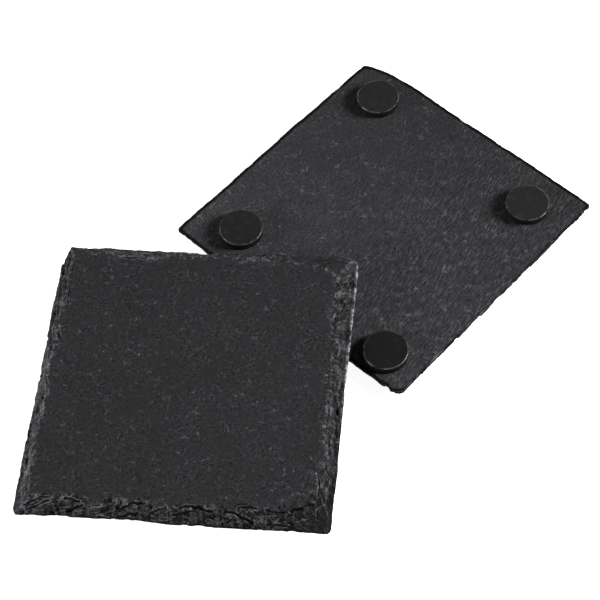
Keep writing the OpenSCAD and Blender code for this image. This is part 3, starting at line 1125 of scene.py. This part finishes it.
# %% Finish
class Finish:
    """A material with an empty network, ending in a Principled shader."""

    def __init__(self, name):
        self.material = bpy.data.materials.new(name)
        self.material.use_nodes = True
        self.tree = self.material.node_tree
        self.tree.nodes.clear()

    def add(self, kind, settings=None, inputs=None):
        node = self.tree.nodes.new(kind)
        for name, value in (settings or {}).items():
            setattr(node, name, value)
        for name, value in (inputs or {}).items():
            if isinstance(value, Wire):
                self.tree.links.new(value.socket, node.inputs[name])
            else:
                node.inputs[name].default_value = value
        return Node(self, node)

    def mask(self, name):
        return self.add("ShaderNodeAttribute", {"attribute_name": name})["Fac"]

    def place(self, name):
        return self.add("ShaderNodeAttribute", {"attribute_name": name})["Vector"]

    def stretched(self, place, scale, turn=0.0):
        inputs = {"Vector": place, "Scale": scale, "Rotation": (0, 0, turn)}
        return self.add("ShaderNodeMapping", {"vector_type": "TEXTURE"}, inputs)["Vector"]

    def noise(self, place, scale, detail=3, roughness=0.5):
        inputs = {"Vector": place, "Scale": scale, "Detail": detail, "Roughness": roughness}
        return self.add("ShaderNodeTexNoise", None, inputs)["Fac"]

    def veins(self, place, scale, width, share=0.5):
        """Thin winding lines, broken off over all but a share of the surface."""
        line = abs(self.noise(place, scale, 2) - 0.5).between(width, width * 0.3)
        shown = self.noise(place, scale * 0.7 + 0.01, 1)
        return line * shown.between(0.62 - 0.24 * share, 0.7 - 0.24 * share)

    def cells(self, place, scale):
        return self.add("ShaderNodeTexVoronoi", None, {"Vector": place, "Scale": scale})

    def draws(self, cell):
        """Random numbers for each cell, named Red, Green and Blue."""
        return self.add("ShaderNodeSeparateColor", None, {"Color": cell["Color"]})

    def specks(self, place, scale, radius, share):
        """Small round spots in a share of the cells of a lattice."""
        cell = self.cells(place, scale)
        draw = self.draws(cell)
        chosen = draw["Red"].between(1 - share, 1 - share + 0.02)
        spot = cell["Distance"].between(radius, radius * 0.6)
        return chosen * spot * (0.25 + 0.75 * draw["Green"])

    def mix(self, share, low, high):
        inputs = {0: share, 6: low, 7: high}
        return self.add("ShaderNodeMix", {"data_type": "RGBA"}, inputs)[2]

    def over(self, colour, level, *layers):
        """Greys laid over a colour: for each, where it shows, and its multiple of the level."""
        for share, times, *cast in layers:
            colour = self.mix(share, colour, grey(level * times, *cast))
        return colour

    def scaled(self, colour, factor):
        inputs = {0: colour, "Scale": factor}
        return self.add("ShaderNodeVectorMath", {"operation": "SCALE"}, inputs)["Vector"]

    def bump(self, height, strength):
        inputs = {"Strength": strength, "Distance": MM, "Height": height}
        return self.add("ShaderNodeBump", None, inputs)["Normal"]

    def surface(self, inputs):
        shader = self.add("ShaderNodeBsdfPrincipled", None, inputs)["BSDF"]
        self.add("ShaderNodeOutputMaterial", None, {"Surface": shader})
        return self.material


def grey(level, cast=0.08):
    """A grey with a cast of blue, or of brown below zero."""
    return (level, level, level * (1 + cast), 1)


# The black of painted shade: in cracks and splits, on the sides and round the underside's rim
SHADE_BLACK = grey(0.001)
print("black of a deep crack", SHADE_BLACK)

# %% [markdown]
# ## Slate
#
# Slate like this is nearly black and quite matt. Both coasters are cut from the same stone, so one
# finish serves both, and the masks laid down with the shape say what belongs where. It starts with
# what every face has: a fine grain, pits and wrinkles, and pale specks, strokes and scratches.

# %% Grain and marks
STROKE_TURNS = (0.5, -0.9, 1.7)

slate = Finish("slate")
place, ring = slate.place("flat_place"), slate.place("round_place")
broken, split, rim = slate.mask("chipped"), slate.mask("split"), slate.mask("rim")
border, pale, ridge = slate.mask("border"), slate.mask("pale"), slate.mask("ridge")
under, rugged, tone = slate.mask("underside"), slate.mask("rugged"), slate.mask("tone")
shade, fresh, streaky = slate.mask("shade"), slate.mask("fresh"), slate.mask("streaky")

grain = slate.noise(place, 1.7, 3, 0.7).between(0.33, 0.67)
patches = slate.noise(place, 0.18, 3).between(0.4, 0.62)
pits = slate.veins(slate.stretched(place, (1.2, 1, 1), 1.3), 1.6, 0.1, 0.65)
wrinkles = slate.veins(slate.stretched(place, (1.3, 1, 1), 0.4), 1.6, 0.1, 0.7)
strokes = sum(
    slate.specks(slate.stretched(place, (2.6, 0.38, 1), turn), 0.9, 0.28, 0.09)
    for turn in STROKE_TURNS
)
scratches = slate.veins(place, 0.6, 0.05, 0.1)
marks = slate.specks(place, 2.1, 0.34, 0.14) + strokes + scratches
print("nodes for grain and marks", len(slate.tree.nodes))

# %% [markdown]
# ### The two split faces
#
# The top is the smoother split. The underside is paler, and fine streaks run one way across it,
# stronger towards one side. They are two noises, one light and one dark, drawn out along that way.

# %% Split faces
TOP_GREY, UNDER_GREY = 0.0165, 0.0235
STREAK_TURN = math.radians(-12)

plain = slate.over(
    slate.mix(grain, grey(TOP_GREY * 0.68), grey(TOP_GREY * 1.33)), TOP_GREY,
    (pits * (0.15 + 0.55 * patches), 0.1),
    (wrinkles * (0.06 + 0.2 * patches), 4),
    (marks * (0.18 + 0.28 * patches), 7),
)
drawn_out = slate.stretched(place, (0.7, 3.6, 1), STREAK_TURN)
light = slate.noise(drawn_out, 1.2, 2).between(0.53, 0.64)
drawn_out = slate.stretched(place, (0.8, 4.0, 1), STREAK_TURN + 0.1)
dark = slate.noise(drawn_out, 1.2, 2).between(0.47, 0.37)
even = 1 - 0.3 * streaky
back = slate.over(
    slate.mix(grain, grey(UNDER_GREY * 0.75), grey(UNDER_GREY * 1.23)), UNDER_GREY,
    (pits * even * (0.2 + 0.3 * patches), 0.1),
    (wrinkles * even * (0.08 + 0.2 * patches), 4),
    (dark * (0.1 + 0.32 * streaky), 0.05),
    (light * (0.05 + 0.28 * streaky) * (0.6 + 0.4 * patches), 5),
    (marks * (0.12 + 0.3 * patches), 7),
)
back = slate.over(
    slate.scaled(back, tone), UNDER_GREY, (fresh * (0.3 + 0.4 * patches), 4, -0.02)
)
# Painted shade round the underside's rim
back = slate.mix(shade, back, SHADE_BLACK)
print("greys of the top and the underside", TOP_GREY, UNDER_GREY)

# %% [markdown]
# ### Broken stone
#
# Freshly broken slate is rougher: a patchwork of facets and crumbs, with cracks painted black as
# shade and small bright chips. The left edge is paler instead, partly as chalky crushed stone and
# partly as painted light. The textures follow the ring of places, so that they are drawn out along
# each edge.

# %% Broken stone
BROKEN_GREY = 0.0165

facets = slate.draws(slate.cells(slate.stretched(ring, (1.9, 1.9, 1)), 0.8))["Red"]
crumbs = slate.noise(ring, 1.4, 4, 0.7).between(0.34, 0.66)
lumps = 0.5 + (0.4 * facets + 0.6 * crumbs - 0.5) * (0.35 + 0.65 * rugged)
stone = slate.mix(lumps, grey(BROKEN_GREY * 0.3, 0.1), grey(BROKEN_GREY * 1.9))
# Paler broken stone, partly chalky crushed stone and partly painted light
chalky_and_lit = slate.mix(lumps, grey(BROKEN_GREY * 0.7), grey(BROKEN_GREY * 4.5))
stone = slate.mix(pale * (0.35 + 0.65 * crumbs), stone, chalky_and_lit)
# Cracks: a bump, and painted shade in their colour
shaded_cracks = slate.veins(slate.stretched(ring, (2.6, 2.6, 1)), 0.8, 0.08, 0.8)
shaded_cracks = shaded_cracks * (1 - 0.6 * pale) * rugged
chips = slate.veins(slate.stretched(ring, (1.5, 1.5, 0.8)), 1.1, 0.08, 0.6)
chips = (chips + slate.specks(ring, 1.6, 0.34, 0.25)) * (0.3 + 0.7 * rugged)
stone = slate.over(
    slate.mix(shaded_cracks, stone, SHADE_BLACK), BROKEN_GREY, (chips * (0.4 + 0.4 * border), 12, 0.06)
)
# Painted shade on the sides and at the outline of the top
stone = slate.mix(shade, slate.scaled(stone, tone), SHADE_BLACK)
print("grey of broken stone", BROKEN_GREY)

# %% [markdown]
# ### Crests, lips and flecks
#
# Painted highlights stand in for light catching what stands up: the crests of the ledges, the lips
# of the splits and the rim. Pale flecks lie along the border of the top face. The splits themselves
# are painted black, as painted shade. A bump adds relief that is too fine for the mesh.

# %% Slate finish
dashes = slate.noise(place, 0.5, 4, 0.7).between(0.44, 0.58)
# Painted highlights on the crests of the ledges and on the lips of the splits
crest_highlights = (ridge / 0.1).between(0.3, 1.0) * dashes
split_lip_highlights = split.between(0.3, 0.42) * split.between(0.7, 0.6) * dashes
flecks = slate.specks(place, 1.5, 0.38, 0.25) + slate.veins(place, 1.0, 0.08, 0.3)
colour = slate.over(
    slate.mix(broken, slate.mix(under, plain, back), stone), BROKEN_GREY,
    (crest_highlights * broken * (0.2 + 0.5 * tone), 8, 0.06),
    (split_lip_highlights * broken * 0.5, 7, 0.06),
    # Painted highlight along the rim
    (rim * (0.12 + 0.88 * dashes), 14),
    (flecks * border * 0.65, 11, 0.06),
)
# Painted shade: the splits are painted black
colour = slate.mix(split.between(0.74, 0.86), colour, SHADE_BLACK)
cloud = slate.noise(place, 0.05, 3)
laminae = slate.noise(slate.stretched(ring, (2.6, 2.6, 0.8)), 1.1, 5, 0.7)
height = grain * 0.05 + marks * 0.03 + under * streaky * (light - dark) * 0.04
height = height + broken * (0.45 * laminae * (0.4 + 0.6 * rugged) - 0.15 * shaded_cracks)
slate_stone = slate.surface({
    "Base Color": slate.scaled(colour, 0.85 + 0.3 * cloud),
    "Roughness": (0.72 + 0.15 * grain) * (1 - shade) + shade,
    "Specular IOR Level": 0.08,
    "Normal": slate.bump(height, 0.8),
})
for piece in slates.values():
    piece.data.materials.append(slate_stone)
print("slate finish of", len(slate.tree.nodes), "nodes")

# %% [markdown]
# ## Foam and adhesive
#
# The feet are closed-cell foam: black, with no shine but for the lip, where the punch has pressed
# the skin smooth; there the foam gets a coat, and its colour is lightened as a painted highlight.
# The adhesive discs are clear film with a yellowish cast. Hardly anything of them shows, so they
# keep the imported shape and only get a finish.

# %% Foam and adhesive finishes
def foam_finish():
    f = Finish("foam")
    place = f.place("flat_place")
    pores = f.cells(place, 2.6)["Distance"].between(0.0, 0.45)
    grain = f.noise(place, 1.8, 4, 0.6)
    scuffs = f.noise(place, 0.35, 3).between(0.5, 0.75)
    pressed_lip_and_highlight = f.mask("lip") * f.noise(place, 0.5, 3).between(0.35, 0.65)
    colour = f.mix(grain * pores, grey(0.005, 0), grey(0.0155, 0))
    colour = f.scaled(f.mix(scuffs * 0.5, colour, grey(0.021, 0)), f.mask("tone"))
    return f.surface({
        # Painted highlight on the lip
        "Base Color": f.mix(pressed_lip_and_highlight * 0.8, colour, grey(0.05, 0)),
        "Roughness": 0.78 + 0.12 * grain - 0.42 * pressed_lip_and_highlight,
        "Specular IOR Level": 0.1,
        "Coat Weight": pressed_lip_and_highlight,
        "Coat Roughness": 0.25,
        "Normal": f.bump(0.04 * pores + 0.05 * grain, 0.7),
    })


def adhesive_finish():
    f = Finish("adhesive")
    haze = f.noise(f.add("ShaderNodeTexCoord")["Object"], 900, 3)
    return f.surface({
        "Base Color": f.mix(haze, (0.34, 0.32, 0.26, 1), (0.42, 0.41, 0.36, 1)),
        "Roughness": 0.25 + 0.2 * haze,
        "Specular IOR Level": 0.5,
    })


foam, adhesive = foam_finish(), adhesive_finish()
for foot in feet:
    foot.data.materials.append(foam)
for name, node in frame["nodes"].items():
    if "_adhesive_" in name:
        node.data.materials.clear()
        node.data.materials.append(adhesive)
print("foam on", len(feet), "feet")

# %% [markdown]
# ## Floor
#
# The photograph is a plain studio shot, white everywhere. A large pale sheet does for the floor,
# and a little light of its own keeps the shadows on it as faint as in the photograph.

# %% Floor
FLOOR_HALF = 3.0
BELOW_THE_PAIR = -0.1 * MM


def floor_finish():
    f = Finish("pale_floor")
    dust = f.noise(f.add("ShaderNodeTexCoord")["Object"], 4, 2)
    return f.surface({
        "Base Color": f.mix(dust, grey(0.86, 0), grey(0.88, 0)),
        "Roughness": 0.9,
        "Specular IOR Level": 0.1,
        "Emission Color": (1, 1, 1, 1),
        "Emission Strength": 0.9,
    })


mesh = bpy.data.meshes.new("floor")
corners = [(x, y, BELOW_THE_PAIR) for x, y in square_ring(FLOOR_HALF, 1)]
mesh.from_pydata(corners, [], [(0, 1, 2, 3)])
mesh.materials.append(floor_finish())
floor = placed("floor", mesh)
print("floor", 2 * FLOOR_HALF, "m wide")

# %% [markdown]
# ## Light
#
# Soft light from the right draws a shadow to the left of each foot, and a lower light from the left
# picks out the left edge. Area lights give the soft edges of a studio's softboxes, and a weak even
# sky fills the shadows.

# %% Lights
SOFTBOXES = [
    # name, azimuth, elevation, distance, side, watts
    ("key", 6, 29, 1.2, 0.42, 34),
    ("left", 205, 14, 1.2, 0.4, 20),
]
SKY_STRENGTH = 0.11


def softbox(name, azimuth, elevation, distance, side, watts):
    """An area light aimed at the pair. Azimuth 0 is the right of the pair and 90 its far side."""
    a, e = math.radians(azimuth), math.radians(elevation)
    away = Vector((math.cos(a) * math.cos(e), math.sin(a) * math.cos(e), math.sin(e)))
    data = bpy.data.lights.new(name, "AREA")
    data.size = side
    data.energy = watts
    light = placed(name, data)
    light.location = away * distance
    light.rotation_mode = "QUATERNION"
    light.rotation_quaternion = away.to_track_quat("Z", "Y")


for box in SOFTBOXES:
    softbox(*box)
world = bpy.data.worlds.new("studio")
world.use_nodes = True
sky = world.node_tree.nodes["Background"].inputs
sky["Color"].default_value = (1, 1, 1, 1)
sky["Strength"].default_value = SKY_STRENGTH
bpy.context.scene.world = world
bpy.context.scene.view_settings.view_transform = "Standard"
